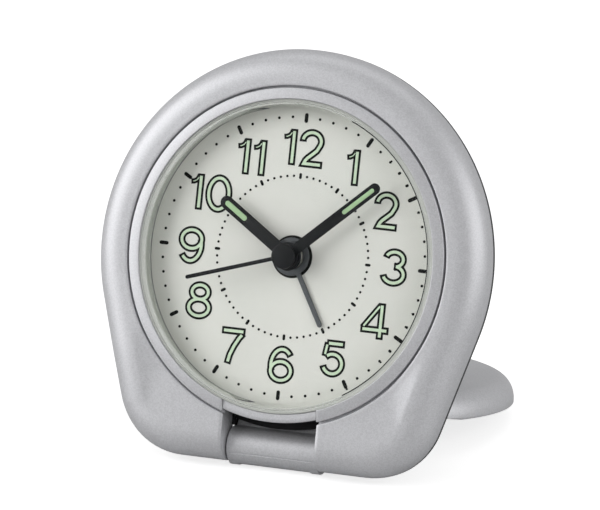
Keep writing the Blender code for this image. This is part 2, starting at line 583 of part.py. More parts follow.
# ------------------------------------------------------------------ screws
for i, (x, y) in enumerate(SCREWS):
    seat, tip = (-7.95, -0.4) if y > 0 else (-4.1, -0.1)
    lathe("case_screw_%d" % (i + 1), [(0, tip), (0.8, tip), (0.8, seat), (1.9, seat), (1.9, seat - 0.9),
                                      (1.5, seat - 1.2), (0, seat - 1.2)], "steel", pose((x, y, 0)), 12,
          closed=False)

# ------------------------------------------------------------------ folding lid
LID = pose((0, HINGE_Y, HINGE_Z), tip=LID_OPEN)
ALONG_X = Matrix.Rotation(math.pi / 2, 4, 'Y')
SIDE_ON = Matrix(((0, 0, 1), (1, 0, 0), (0, 1, 0))).to_4x4()


def barrel(name, look=None):
    return lathe(name, [(COLLAR_R, BARREL_HALF), (COLLAR_R, 7.45), (BARREL_R, 7.3), (BARREL_R, -7.3),
                        (COLLAR_R, -7.45), (COLLAR_R, -BARREL_HALF), (PIN_R + CLEAR, -BARREL_HALF),
                        (PIN_R + CLEAR, BARREL_HALF)], look, LID @ ALONG_X, 36)


lid = barrel("lid", "silver_paint")
cut(lid, block("cap_seat", (-7.15, 7.15), (-6, 6), (-6, -0.8), at=LID))
cap = barrel("hinge_cap", "silver_paint")
combine(cap, [block("cap_keep", (-6.85, 6.85), (-6, 6), (-6, -1.1), at=LID)], 'INTERSECT')

rim, top = LID_IN, LID_IN + LID_RISE
shell = [(0, top + LID_DOME), (18.0, top + 0.6 * LID_DOME), (28.5, top)]
for k in range(1, 5):
    a = math.radians(90 - 22.5 * k)
    shell.append((28.5 + 4.0 * math.cos(a), rim + 0.5 + (LID_RISE - 0.5) * math.sin(a)))
shell += [(LID_R, rim), (LID_R - 0.75, rim), (LID_R - 0.75, 7.1), (31.3, 7.95), (30.4, 8.9), (28.5, 9.7),
          (0, 10.3)]
tray = lathe("lid_tray", shell, at=LID @ Matrix.Translation((0, LID_C * MM, 0)), closed=False)
cut(tray, flat("rim_relief", [[(-4, -2), (26, -2), (26, 5.4), (24, 5.4), (10, 7.4), (-4, 7.4)]], -45, 45,
               at=LID @ SIDE_ON))
arm = flat("lid_arm", [[(-1.0, 1.5), (-1.0, 3.4), (0.2, 3.75), (1.0, 5.0), (2.4, 7.2), (4.6, 9.2), (7.2, 10.3),
                        (9.4, 10.72), (9.4, 9.5), (7.6, 9.3), (6.3, 8.6), (5.6, 7.7), (5.0, 6.4), (4.2, 4.6),
                        (3.3, 2.9), (2.6, 1.8)]], -8.9, 8.9, at=LID @ SIDE_ON)
join(lid, arm, tray)
x_rod("hinge_pin", PIN_R, -13.6, 13.6, HINGE_Y, HINGE_Z, "steel", 20)

# ------------------------------------------------------------------ stand the clock on its origin
bpy.context.view_layer.update()
graph = bpy.context.evaluated_depsgraph_get()
corners = []
for ob in PARTS.objects:
    shown = ob.evaluated_get(graph)
    mesh = shown.to_mesh()
    corners += [ob.matrix_world @ v.co for v in mesh.vertices]
    shown.to_mesh_clear()
lows = [min(c[i] for c in corners) for i in range(3)]
highs = [max(c[i] for c in corners) for i in range(3)]
settle = Matrix.Translation((-(lows[0] + highs[0]) / 2, -(lows[1] + highs[1]) / 2, -lows[2]))
for coll in (PARTS, CUTTERS):
    for ob in coll.objects:
        ob.matrix_world = settle @ ob.matrix_world
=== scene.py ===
"""Looks for the folding travel alarm clock: detailed shells, printed dial, hands and materials.

Shapes are written in the clock's own frame in millimetres: X right and Y up the dial, Z out of it,
with the dial face at Z = 0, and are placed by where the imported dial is.
"""
import json
import math

import bmesh
import bpy
from mathutils import Matrix, Vector

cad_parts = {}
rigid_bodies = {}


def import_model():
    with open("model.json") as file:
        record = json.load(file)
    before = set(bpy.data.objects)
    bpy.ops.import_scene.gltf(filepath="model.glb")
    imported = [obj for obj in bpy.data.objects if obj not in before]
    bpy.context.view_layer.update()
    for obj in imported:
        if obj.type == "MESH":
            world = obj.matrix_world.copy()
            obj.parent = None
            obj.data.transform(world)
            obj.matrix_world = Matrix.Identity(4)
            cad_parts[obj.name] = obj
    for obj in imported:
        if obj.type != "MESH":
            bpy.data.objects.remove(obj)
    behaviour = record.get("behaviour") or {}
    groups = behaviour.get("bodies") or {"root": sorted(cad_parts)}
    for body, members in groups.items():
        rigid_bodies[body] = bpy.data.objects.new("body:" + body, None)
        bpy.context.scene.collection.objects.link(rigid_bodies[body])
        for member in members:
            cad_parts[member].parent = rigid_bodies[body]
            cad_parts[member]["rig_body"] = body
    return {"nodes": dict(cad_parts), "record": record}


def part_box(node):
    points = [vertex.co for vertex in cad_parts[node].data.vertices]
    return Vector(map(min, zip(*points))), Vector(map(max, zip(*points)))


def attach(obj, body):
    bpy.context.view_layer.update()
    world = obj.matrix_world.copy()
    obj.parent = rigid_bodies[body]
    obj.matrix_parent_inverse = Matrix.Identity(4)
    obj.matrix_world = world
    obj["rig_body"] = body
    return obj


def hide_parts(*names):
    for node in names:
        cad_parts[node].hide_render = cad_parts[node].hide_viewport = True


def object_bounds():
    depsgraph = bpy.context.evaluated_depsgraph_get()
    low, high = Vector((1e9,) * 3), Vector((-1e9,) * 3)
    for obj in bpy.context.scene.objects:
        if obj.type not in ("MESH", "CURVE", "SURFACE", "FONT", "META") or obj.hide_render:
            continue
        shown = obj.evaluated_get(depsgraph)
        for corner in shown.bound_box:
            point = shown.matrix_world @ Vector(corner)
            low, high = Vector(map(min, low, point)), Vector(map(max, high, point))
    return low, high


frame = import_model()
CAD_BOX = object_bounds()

MM = 0.001
LEAN = 15.96                         # the dial leans back, in degrees
DIAL_HALF = 0.25                     # half the dial's thickness
TURN = Matrix.Rotation(math.radians(90.0 - LEAN), 4, 'X')
low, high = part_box("dial")
FACE = (low + high) / 2 + TURN @ Vector((0, 0, DIAL_HALF * MM))
CLOCK = Matrix.Translation(FACE) @ TURN
HINGE_Y, HINGE_Z, LID_OPEN = -37.15, -3.0, 278.36
# the lid's shapes are written as if it lay closed over the dial, about its hinge
LID = (CLOCK @ Matrix.Translation(Vector((0, HINGE_Y, HINGE_Z)) * MM)
       @ Matrix.Rotation(math.radians(LID_OPEN), 4, 'X'))
ALONG_X = Matrix.Rotation(math.pi / 2, 4, 'Y')
SIDE_ON = Matrix(((0, 0, 1), (1, 0, 0), (0, 1, 0))).to_4x4()     # plate outlines become (Y, Z), swept along X
HOUR, MINUTE, SECOND, ALARM = 303.6, 48.5, 252.9, 150.0          # degrees clockwise from 12


# ------------------------------------------------------------------ materials
def nodes_of(name):
    """New material with its node tree and its main shader."""
    mat = bpy.data.materials.new(name)
    mat.use_nodes = True
    tree = mat.node_tree
    return mat, tree, tree.nodes["Principled BSDF"]


def noise(tree, scale, detail=3.0, rough=0.5, stretch=None):
    """Noise in the object's own space, so that it stays put when the piece moves."""
    coords = tree.nodes.new("ShaderNodeTexCoord")
    source = coords.outputs["Object"]
    if stretch:
        mapping = tree.nodes.new("ShaderNodeMapping")
        mapping.inputs["Scale"].default_value = stretch
        tree.links.new(source, mapping.inputs["Vector"])
        source = mapping.outputs["Vector"]
    tex = tree.nodes.new("ShaderNodeTexNoise")
    tex.inputs["Scale"].default_value = scale
    tex.inputs["Detail"].default_value = detail
    tex.inputs["Roughness"].default_value = rough
    tree.links.new(source, tex.inputs["Vector"])
    return tex.outputs["Fac"]


def spread(tree, fac, low, high, start=0.3, stop=0.7):
    """Factor from start to stop mapped to low to high."""
    node = tree.nodes.new("ShaderNodeMapRange")
    node.inputs["From Min"].default_value = start
    node.inputs["From Max"].default_value = stop
    node.inputs["To Min"].default_value = low
    node.inputs["To Max"].default_value = high
    tree.links.new(fac, node.inputs["Value"])
    return node.outputs["Result"]


def tint(tree, fac, dark, light):
    """Factor turned into a colour between two others."""
    ramp = tree.nodes.new("ShaderNodeValToRGB")
    ramp.color_ramp.elements[0].position = 0.3
    ramp.color_ramp.elements[1].position = 0.7
    ramp.color_ramp.elements[0].color = (*dark, 1)
    ramp.color_ramp.elements[1].color = (*light, 1)
    tree.links.new(fac, ramp.inputs["Fac"])
    return ramp.outputs["Color"]


def relief(tree, shader, fac, depth, strength=0.5):
    """Bump of a depth in millimetres."""
    bump = tree.nodes.new("ShaderNodeBump")
    bump.inputs["Strength"].default_value = strength
    bump.inputs["Distance"].default_value = depth * MM
    tree.links.new(fac, bump.inputs["Height"])
    tree.links.new(bump.outputs["Normal"], shader.inputs["Normal"])


def surface(name, colour, rough, metallic=0.0, vary=0.05, patch=150.0, grain=2500.0, depth=0.01,
            swing=0.05, stretch=None, specular=0.5):
    """Moulded, painted or metal finish: patchy colour, grain in roughness and relief."""
    mat, tree, shader = nodes_of(name)
    broad = noise(tree, patch, 3.0, 0.55, stretch)
    fine = noise(tree, grain, 2.0, 0.6, stretch)
    dark = [c * (1 - vary) for c in colour]
    light = [min(1.0, c * (1 + vary)) for c in colour]
    tree.links.new(tint(tree, broad, dark, light), shader.inputs["Base Color"])
    tree.links.new(spread(tree, fine, rough - swing, rough + swing), shader.inputs["Roughness"])
    shader.inputs["Metallic"].default_value = metallic
    shader.inputs["Specular IOR Level"].default_value = specular
    relief(tree, shader, fine, depth)
    return mat


FLAKE_SHARE = 0.55                   # the rest of the paint's colour change is broad and cloudy


def silver_paint():
    """Metallic paint: flakes that catch the light one by one under a soft satin coat."""
    colour = (0.60, 0.602, 0.622)
    mat, tree, shader = nodes_of("silver_metallic_paint")
    coords = tree.nodes.new("ShaderNodeTexCoord")
    flakes = tree.nodes.new("ShaderNodeTexVoronoi")
    flakes.inputs["Scale"].default_value = 5200.0
    tree.links.new(coords.outputs["Object"], flakes.inputs["Vector"])
    split = tree.nodes.new("ShaderNodeSeparateColor")
    tree.links.new(flakes.outputs["Color"], split.inputs["Color"])
    sparkle = split.outputs["Red"]
    cloud = noise(tree, 60.0, 3.0, 0.5)
    mix = tree.nodes.new("ShaderNodeMath")
    mix.operation = 'MULTIPLY_ADD'
    mix.inputs[1].default_value = FLAKE_SHARE
    tree.links.new(sparkle, mix.inputs[0])
    half = tree.nodes.new("ShaderNodeMath")
    half.operation = 'MULTIPLY'
    half.inputs[1].default_value = 1 - FLAKE_SHARE
    tree.links.new(cloud, half.inputs[0])
    tree.links.new(half.outputs[0], mix.inputs[2])
    dark = [c * 0.93 for c in colour]
    light = [c * 1.07 for c in colour]
    tree.links.new(tint(tree, mix.outputs[0], dark, light), shader.inputs["Base Color"])
    tree.links.new(spread(tree, sparkle, 0.42, 0.54, 0.0, 1.0), shader.inputs["Roughness"])
    shader.inputs["Metallic"].default_value = 0.55
    shader.inputs["Coat Weight"].default_value = 0.12
    shader.inputs["Coat Roughness"].default_value = 0.3
    relief(tree, shader, noise(tree, 3000.0, 2.0, 0.6), 0.006, 0.35)
    return mat


def crystal():
    """Clear acrylic that lets lamp light through to the dial."""
    mat, tree, shader = nodes_of("clear_acrylic")
    shader.inputs["Transmission Weight"].default_value = 1.0
    shader.inputs["IOR"].default_value = 1.12
    tree.links.new(tint(tree, noise(tree, 90.0), (0.975, 0.985, 0.98), (1.0, 1.0, 1.0)),
                   shader.inputs["Base Color"])
    tree.links.new(spread(tree, noise(tree, 400.0), 0.0, 0.02), shader.inputs["Roughness"])
    path = tree.nodes.new("ShaderNodeLightPath")
    clear = tree.nodes.new("ShaderNodeBsdfTransparent")
    mix = tree.nodes.new("ShaderNodeMixShader")
    tree.links.new(path.outputs["Is Shadow Ray"], mix.inputs["Fac"])
    tree.links.new(shader.outputs["BSDF"], mix.inputs[1])
    tree.links.new(clear.outputs["BSDF"], mix.inputs[2])
    tree.links.new(mix.outputs["Shader"], tree.nodes["Material Output"].inputs["Surface"])
    return mat


def winding():
    """Enamelled copper wire lying in turns along the bobbin."""
    mat, tree, shader = nodes_of("copper_wire")
    coords = tree.nodes.new("ShaderNodeTexCoord")
    wave = tree.nodes.new("ShaderNodeTexWave")
    wave.bands_direction = 'X'
    wave.inputs["Scale"].default_value = 1600.0
    wave.inputs["Distortion"].default_value = 0.6
    tree.links.new(coords.outputs["Object"], wave.inputs["Vector"])
    tree.links.new(tint(tree, wave.outputs["Fac"], (0.30, 0.10, 0.05), (0.75, 0.33, 0.17)),
                   shader.inputs["Base Color"])
    tree.links.new(spread(tree, noise(tree, 900.0), 0.25, 0.4), shader.inputs["Roughness"])
    shader.inputs["Metallic"].default_value = 0.9
    relief(tree, shader, wave.outputs["Fac"], 0.08, 0.8)
    return mat


def board():
    """Green solder mask with the copper tracks showing through as a paler pattern."""
    mat, tree, shader = nodes_of("solder_mask")
    coords = tree.nodes.new("ShaderNodeTexCoord")
    tracks = tree.nodes.new("ShaderNodeTexBrick")
    tracks.inputs["Scale"].default_value = 260.0
    tracks.inputs["Mortar Size"].default_value = 0.06
    tracks.inputs["Color1"].default_value = (0.012, 0.13, 0.055, 1)
    tracks.inputs["Color2"].default_value = (0.016, 0.17, 0.07, 1)
    tracks.inputs["Mortar"].default_value = (0.05, 0.30, 0.12, 1)
    tree.links.new(coords.outputs["Object"], tracks.inputs["Vector"])
    tree.links.new(tracks.outputs["Color"], shader.inputs["Base Color"])
    tree.links.new(spread(tree, noise(tree, 700.0), 0.3, 0.45), shader.inputs["Roughness"])
    relief(tree, shader, tracks.outputs["Fac"], 0.03, 0.6)
    return mat


SILVER = silver_paint()
BLACK_PLASTIC = surface("black_textured_plastic", (0.028, 0.029, 0.032), 0.5, vary=0.12, patch=400,
                        grain=2600, depth=0.03, swing=0.08)
CRYSTAL = crystal()
CREAM = surface("cream_plastic", (0.60, 0.60, 0.55), 0.42, vary=0.03, patch=220, grain=1500)
DIAL = surface("dial_paper_white", (0.71, 0.715, 0.67), 0.62, vary=0.015, patch=45, grain=2200,
               depth=0.006, specular=0.3)
# black of the dial's print, also used for the painted shadow line on the crystal rim
PRINT_AND_SHADOW = surface("dial_print_and_shadow", (0.007, 0.008, 0.007), 0.6, vary=0.2, patch=900, grain=3000,
                depth=0.006, specular=0.15)
LUME = surface("dial_lume", (0.58, 0.71, 0.53), 0.7, vary=0.05, patch=1400, grain=5000, depth=0.02)
HAND_LUME = surface("hand_lume", (0.36, 0.53, 0.30), 0.65, vary=0.05, patch=1400, grain=5000, depth=0.02)
HAND_BLACK = surface("hand_black_lacquer", (0.007, 0.008, 0.009), 0.4, vary=0.15, patch=500, grain=1800,
                     depth=0.006, swing=0.06, specular=0.2)
HAND_GREY = surface("hand_grey_lacquer", (0.080, 0.088, 0.093), 0.38, metallic=0.3, vary=0.08,
                    patch=600, grain=2000)
ACETAL = surface("gear_acetal", (0.62, 0.62, 0.58), 0.45, vary=0.04, patch=500, grain=2500)
MOVEMENT = surface("movement_plastic", (0.035, 0.036, 0.04), 0.5, vary=0.15, patch=500, grain=2500,
                   depth=0.02)
STEEL = surface("brushed_steel", (0.48, 0.48, 0.49), 0.3, metallic=1.0, vary=0.08, patch=900, grain=2500,
                swing=0.1, stretch=(1, 8, 8))
BRASS = surface("turned_brass", (0.66, 0.46, 0.17), 0.28, metallic=1.0, vary=0.08, patch=900, grain=2500,
                swing=0.08)
FERRITE = surface("ferrite_magnet", (0.07, 0.068, 0.07), 0.55, metallic=0.4, vary=0.2, patch=1500,
                  grain=5000)
WRAP = surface("battery_wrap", (0.03, 0.045, 0.11), 0.35, metallic=0.2, vary=0.1, patch=300, grain=2500)
GREY_PLASTIC = surface("switch_grey_plastic", (0.16, 0.16, 0.175), 0.42, vary=0.08, patch=600,
                       grain=2500, depth=0.02)
RIM_GREY = surface("crystal_rim_grey", (0.52, 0.535, 0.50), 0.35, vary=0.03, patch=220, grain=1500)
WALL = surface("dial_wall_grey", (0.42, 0.44, 0.40), 0.45, vary=0.04, patch=220, grain=1500)
# near-black for sheets of painted shade in the hinge opening, where only shadow is seen
SHADE_BLACK = surface("painted_shade_black", (0.006, 0.006, 0.007), 0.7, vary=0.2, patch=300, grain=1500,
                 depth=0.02, specular=0.2)
COPPER = winding()
BOARD = board()


# ------------------------------------------------------------------ shape tools
def finish_mesh(mesh, angle):
    """Welds the seams, turns the normals outward and keeps edges sharper than the angle."""
    work = bmesh.new()
    work.from_mesh(mesh)
    bmesh.ops.remove_doubles(work, verts=work.verts, dist=2e-7)
    bmesh.ops.dissolve_degenerate(work, edges=work.edges, dist=1e-8)
    bmesh.ops.recalc_face_normals(work, faces=work.faces)
    work.to_mesh(mesh)
    work.free()
    mesh.shade_smooth()
    mesh.set_sharp_from_angle(angle=math.radians(angle))


def place(name, shape, look, body, stands_for=(), at=CLOCK, angle=32.0):
    """Puts a (points, faces) shape, or a ready mesh, into the scene as a piece of a CAD body.

    stands_for names the CAD nodes that it replaces.
    """
    if isinstance(shape, bpy.types.Mesh):
        mesh = shape
        mesh.name = name
        mesh.transform(at)
    else:
        mesh = bpy.data.meshes.new(name)
        mesh.from_pydata([at @ (Vector(p) * MM) for p in shape[0]], [], shape[1])
    finish_mesh(mesh, angle)
    mesh.materials.clear()
    mesh.materials.append(look)
    ob = bpy.data.objects.new(name, mesh)
    bpy.context.scene.collection.objects.link(ob)
    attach(ob, body)
    if stands_for:
        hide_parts(*stands_for)
    return ob


def rounded(corners, closed=True, steps=5):
    """Line with round corners, from a list of corners (x, y, radius)."""
    out = []
    count = len(corners)
    for i, (x, y, r) in enumerate(corners):
        here = Vector((x, y))
        if r == 0 or (not closed and i in (0, count - 1)):
            out.append((x, y))
            continue
        a = Vector(corners[i - 1][:2]) - here
        b = Vector(corners[(i + 1) % count][:2]) - here
        half = a.angle(b) / 2
        reach = min(r / math.tan(half), a.length * 0.49, b.length * 0.49)
        r = reach * math.tan(half)
        mid = here + (a.normalized() + b.normalized()).normalized() * (r / math.sin(half))
        p, q = here + a.normalized() * reach - mid, here + b.normalized() * reach - mid
        turn = math.atan2(p.x * q.y - p.y * q.x, p.dot(q))
        for k in range(steps + 1):
            t = turn * k / steps
            out.append((mid.x + p.x * math.cos(t) - p.y * math.sin(t),
                        mid.y + p.x * math.sin(t) + p.y * math.cos(t)))
    return out


def turned(profile, steps=144, closed=True):
    """Profile of (r, z) swept round Z; open profiles start and end on the axis."""
    n = len(profile)
    points = []
    for i in range(steps):
        a = 2 * math.pi * i / steps
        points += [(r * math.cos(a), r * math.sin(a), z) for r, z in profile]
    faces = []
    for i in range(steps):
        j = (i + 1) % steps
        for k in range(n if closed else n - 1):
            m = (k + 1) % n
            faces.append((i * n + k, j * n + k, j * n + m, i * n + m))
    return points, faces


def skin(rows, n):
    """Faces that join rows of n points into a closed tube with capped ends."""
    faces = [(i * n + k, i * n + (k + 1) % n, (i + 1) * n + (k + 1) % n, (i + 1) * n + k)
             for i in range(rows - 1) for k in range(n)]
    return faces + [tuple(range(n))[::-1], tuple(range((rows - 1) * n, rows * n))]


def plate(loops, z0, z1, bevel=0.0):
    """Flat plate from closed outlines (outer first, then holes) with softened edges, as a mesh."""
    curve = bpy.data.curves.new("plate", 'CURVE')
    curve.dimensions = '2D'
    curve.fill_mode = 'BOTH'
    curve.extrude = ((z1 - z0) / 2 - bevel) * MM
    curve.bevel_depth = bevel * MM
    curve.bevel_resolution = 2
    curve.offset = -bevel * MM
    curve.resolution_u = 1
    for loop in loops:
        spline = curve.splines.new('POLY')
        spline.points.add(len(loop) - 1)
        for point, (x, y) in zip(spline.points, loop):
            point.co = (x * MM, y * MM, 0.0, 1.0)
        spline.use_cyclic_u = True
    temp = bpy.data.objects.new("plate", curve)
    bpy.context.scene.collection.objects.link(temp)
    bpy.context.view_layer.update()
    mesh = bpy.data.meshes.new_from_object(temp.evaluated_get(bpy.context.evaluated_depsgraph_get()))
    bpy.data.objects.remove(temp, do_unlink=True)
    mesh.transform(Matrix.Translation((0, 0, (z0 + z1) / 2 * MM)))
    return mesh


def circle(r, n=48):
    return [(r * math.cos(2 * math.pi * i / n), r * math.sin(2 * math.pi * i / n)) for i in range(n)]


def spin(turn):
    """Clock frame turned clockwise about the dial's centre, in degrees."""
    return CLOCK @ Matrix.Rotation(-math.radians(turn), 4, 'Z')


def shifted(x, y, z=0.0):
    """Clock frame moved by millimetres."""
    return CLOCK @ Matrix.Translation(Vector((x, y, z)) * MM)


def side_name(side):
    return "right" if side > 0 else "left"


# ------------------------------------------------------------------ front frame
CASE_R, SIDE_TAPER, CORNER_R, CASE_BOTTOM = 39.87, 16.7, 14.0, -40.4
CUT_HALF = 9.65                      # half the width of the hinge opening
BEZEL_IN, LIP_R = 30.1, 32.68        # the bezel's bore, and where the groove meets the broad ring
ROUND = 6.1                          # width of the soft outer roll
BACK_Z = -2.8
CORNER_STEPS, SIDE_STEPS, TOP_STEPS, ROLL_STEPS = 16, 9, 64, 24


def half_outline():
    """Points with outward normals up the right side, from the hinge opening to the top."""
    a0 = math.radians(90.0 + SIDE_TAPER)
    n0 = (math.sin(a0), math.cos(a0))
    cy = CASE_BOTTOM + CORNER_R
    cx = (CASE_R - CORNER_R - n0[1] * cy) / n0[0]
    line = [((x, CASE_BOTTOM), (0.0, -1.0)) for x in (10.4, 12.0, 14.0, 16.5)]
    for i in range(CORNER_STEPS + 1):
        a = math.pi + (a0 - math.pi) * i / CORNER_STEPS
        s, c = math.sin(a), math.cos(a)
        line.append(((cx + CORNER_R * s, cy + CORNER_R * c), (s, c)))
    low, top = line[-1][0], (CASE_R * n0[0], CASE_R * n0[1])
    for i in range(1, SIDE_STEPS):
        line.append(((low[0] + (top[0] - low[0]) * i / SIDE_STEPS,
                      low[1] + (top[1] - low[1]) * i / SIDE_STEPS), n0))
    for i in range(TOP_STEPS + 1):
        a = a0 * (1 - i / TOP_STEPS)
        s, c = math.sin(a), math.cos(a)
        line.append(((CASE_R * s, CASE_R * c), (s, c)))
    return line


def smooth(t):
    """Eases from 0 to 1 while t goes from 0 to 1."""
    t = min(1.0, max(0.0, t))
    return t * t * (3 - 2 * t)


def frame_slice(point, normal, share, plane_x, inset=0.0):
    """Closed cross-section of the frame at one outline point.

    share runs from 0 at the opening, which is the plane at plane_x, to 1 at the top.
    inset draws the section inwards, to round the edge of the opening.
    """
    foot = smooth((-point[1] - 20.0) / 16.0)
    lip_z = 4.1 - 0.75 * foot
    edge_z = -1.1 - 0.4 * foot

    def ring(r, z):
        a = math.asin(min(1.0, plane_x / r))
        a += (math.pi - a) * share
        return Vector((r * math.sin(a), -r * math.cos(a), z))

    def rim(d, z):
        return Vector((point[0] - normal[0] * d, point[1] - normal[1] * d, z))

    # bezel, the groove for the closed lid, then the flat of the broad ring
    inner = rounded([(BEZEL_IN, 1.2, 0), (BEZEL_IN, 4.55, 0.14), (32.26, 4.1 - 0.3 * foot, 0.16),
                     (32.28, 2.3, 0.04), (LIP_R - 0.02, 2.3, 0.04), (LIP_R, lip_z, 0.26),
                     (LIP_R + 0.7, lip_z, 0)], closed=False, steps=4)
    points = [ring(r, z) for r, z in inner]
    flat_z = lip_z - 0.01
    start, end = ring(LIP_R + 0.9, flat_z), rim(ROUND, lip_z)
    for k in range(5):
        p = start.lerp(end, k / 5)
        p.z = flat_z
        points.append(p)
    # outer roll, edge and back
    for k in range(ROLL_STEPS + 1):
        a = math.pi / 2 * k / ROLL_STEPS
        d, lift = ROUND * (1 - math.sin(a)), (1 - math.sin(a) ** 2.5) ** 0.5
        points.append(rim(d, edge_z + (flat_z - edge_z) * lift))
    points += [rim(0.0, -2.0), rim(0.0, -2.5), rim(0.12, -2.75), rim(0.35, BACK_Z)]
    if abs(point[0]) < 15.0 and point[1] < -30.0:      # solid foot beside the opening
        points += [rim(d, BACK_Z) for d in (2.0, 2.6, 3.4, 5.2)]
        points += [ring(34.1, BACK_Z), ring(32.5, BACK_Z), ring(31.0, 0.7)]
    else:                                              # hollow shell elsewhere
        points += [rim(2.0, BACK_Z), rim(2.05, -0.9), rim(3.2, 0.9), rim(5.3, 1.6), ring(34.1, 1.6),
                   ring(34.0, 0.7), ring(31.0, 0.7)]
    if inset:
        flat = [Vector((math.hypot(p.x, p.y), p.z)) for p in points]
        moved = []
        for i, p in enumerate(points):
            before, after = flat[i - 1], flat[(i + 1) % len(flat)]
            along = (after - before).normalized()
            out = Vector((-along.y, along.x)) * inset
            radial = Vector((0, p.y, 0)).normalized()
            moved.append(p - radial * out.x - Vector((0, 0, out.y)))
        points = moved
    return points


def build_frame():
    """The right half's sections, mirrored to the left, joined into one closed skin."""
    outline = half_outline()
    turns = [math.atan2(p[0], -p[1]) for p, n in outline]
    first = turns[0]
    sections = []
    for x, inset in ((CUT_HALF, 0.22), (CUT_HALF + 0.06, 0.09), (CUT_HALF + 0.2, 0.0)):
        sections.append(frame_slice((x, CASE_BOTTOM), (0.0, -1.0), 0.0, x, inset))
    for (p, n), t in zip(outline, turns):
        share = max((t - first) / (math.pi - first), 0.0)
        sections.append(frame_slice(p, n, share, CUT_HALF + 0.75))
    sections += [[Vector((-p.x, p.y, p.z)) for p in s] for s in sections[:-1]][::-1]
    return [tuple(p) for s in sections for p in s], skin(len(sections), len(sections[0]))


place("case_frame", build_frame(), SILVER, "case", ("front_frame",), angle=38)
LUG = [(1.35, 4.4, 0), (1.35, 0, 0), (3.0, 0.0, 0.2), (3.2, 0.2, 0), (3.2, 4.4, 0)]
LUG_X = 9.75
for side in (-1, 1):
    place("hinge_lug_%s" % side_name(side), turned(rounded(LUG), 64), SILVER, "case", (),
          shifted(side * LUG_X, HINGE_Y, HINGE_Z) @ Matrix.Rotation(side * math.pi / 2, 4, 'Y'))

# dark band behind the frame's edge, as (depth inside the outline, height), all round but the flat foot
BAND = [(0.06, -2.79), (0.06, -3.6), (0.25, -3.8), (1.9, -3.8), (1.9, -2.79)]
walk = [(p, n) for p, n in half_outline() if n[1] > -0.999]
walk += [((-p[0], p[1]), (-n[0], n[1])) for p, n in walk[:-1]][::-1]
strip = [(p[0] - n[0] * d, p[1] - n[1] * d, z) for p, n in walk for d, z in BAND]
place("back_edge_band", (strip, skin(len(walk), len(BAND))), BLACK_PLASTIC, "case", ())

# ------------------------------------------------------------------ crystal and the wall below it
CRYSTAL_DOME = [(0, 6.2, 0), (28.5, 6.2, 0.8), (29.75, 4.9, 0.5), (29.75, 4.2, 0.05), (29.4, 4.2, 0.05),
                (29.3, 4.7, 0.4), (28.2, 5.45, 0.5), (0, 5.45, 0)]
CRYSTAL_RIM = [(30.08, 4.15, 0.05), (29.62, 4.15, 0.08), (29.55, 3.98, 0.04), (29.2, 3.98, 0.04),
               (29.14, 4.06, 0.05), (28.95, 3.98, 0.08), (28.9, 3.3, 0.1), (29.5, 3.0, 0.1), (30.08, 3.0, 0)]
DIAL_WALL = [(30.07, -0.3, 0), (29.36, -0.3, 0), (29.36, 0.3, 0.1), (29.6, 0.4, 0.1), (29.75, 2.0, 0.15),
             (29.6, 2.2, 0.1), (29.6, 3.02, 0), (30.07, 3.02, 0)]
EDGE_LINE = [(29.34, 0.05), (29.24, 0.05), (29.24, 0.002), (29.34, 0.002)]
NOTCH = [(-0.45, 28.92), (0.45, 28.92), (0.45, 29.16), (-0.45, 29.16)]
NOTCH_TURNS = (-1.2, 1.2, 264.0, 296.0, 330.0)
SHADOW_OUT, SHADOW_IN, SHADOW_FROM, SHADOW_STEP, SHADOW_COUNT = 29.02, 28.8, 22, 2, 65

place("crystal", turned(rounded(CRYSTAL_DOME, closed=False), 160, closed=False), CRYSTAL, "case", ("lens",))
place("crystal_rim", turned(rounded(CRYSTAL_RIM, steps=3), 176), RIM_GREY, "case", ())
# black arc on the rim's inner edge, on the right side only: painted shadow
bends = [math.radians(SHADOW_FROM + SHADOW_STEP * i) for i in range(SHADOW_COUNT)]
shadow = [(SHADOW_OUT * math.sin(a), SHADOW_OUT * math.cos(a)) for a in bends]
shadow += [(SHADOW_IN * math.sin(a), SHADOW_IN * math.cos(a)) for a in bends[::-1]]
place("rim_shadow_line", plate([shadow], 3.88, 4.04, 0.02), PRINT_AND_SHADOW, "case", ())
place("dial_wall_ring", turned(rounded(DIAL_WALL), 160), WALL, "case", ("dial_wall",))
place("dial_edge_line", turned(EDGE_LINE, 176), GREY_PLASTIC, "case", ())
for i, turn in enumerate(NOTCH_TURNS):
    place("rim_notch_%d" % i, plate([NOTCH], 4.0, 4.1, 0.03), WALL, "case", (), spin(turn))


def crossing(name, profile, half, look):
    """Profile of (r, z) swept across the hinge opening between two upright planes."""
    points = []
    for i in range(CROSSING_STEPS + 1):
        t = 2.0 * i / CROSSING_STEPS - 1.0
        for r, z in profile:
            a = t * math.asin(half / r)
            points.append((r * math.sin(a), -r * math.cos(a), z))
    place(name, (points, skin(CROSSING_STEPS + 1, len(profile))), look, "case", ())


CROSSING_STEPS, CROSSING_HALF = 40, 9.6
OPENING_RING = [(30.12, -0.5, 0), (30.12, 3.85, 0.15), (31.2, 3.85, 0.8), (31.82, 3.7, 0.3), (31.85, 3.0, 0),
                (31.85, -0.5, 0)]
# black sheet of painted shade behind the opening's ring, where the hinge cavity lies in shadow
OPENING_SHADE_SHEET = [(31.5, 3.2), (31.9, 3.2), (31.92, -1.7), (33.25, -1.7), (33.25, -1.9), (31.5, -1.9)]
crossing("opening_ring", rounded(OPENING_RING), CROSSING_HALF, SILVER)
crossing("opening_shade_sheet", OPENING_SHADE_SHEET, CROSSING_HALF, SHADE_BLACK)

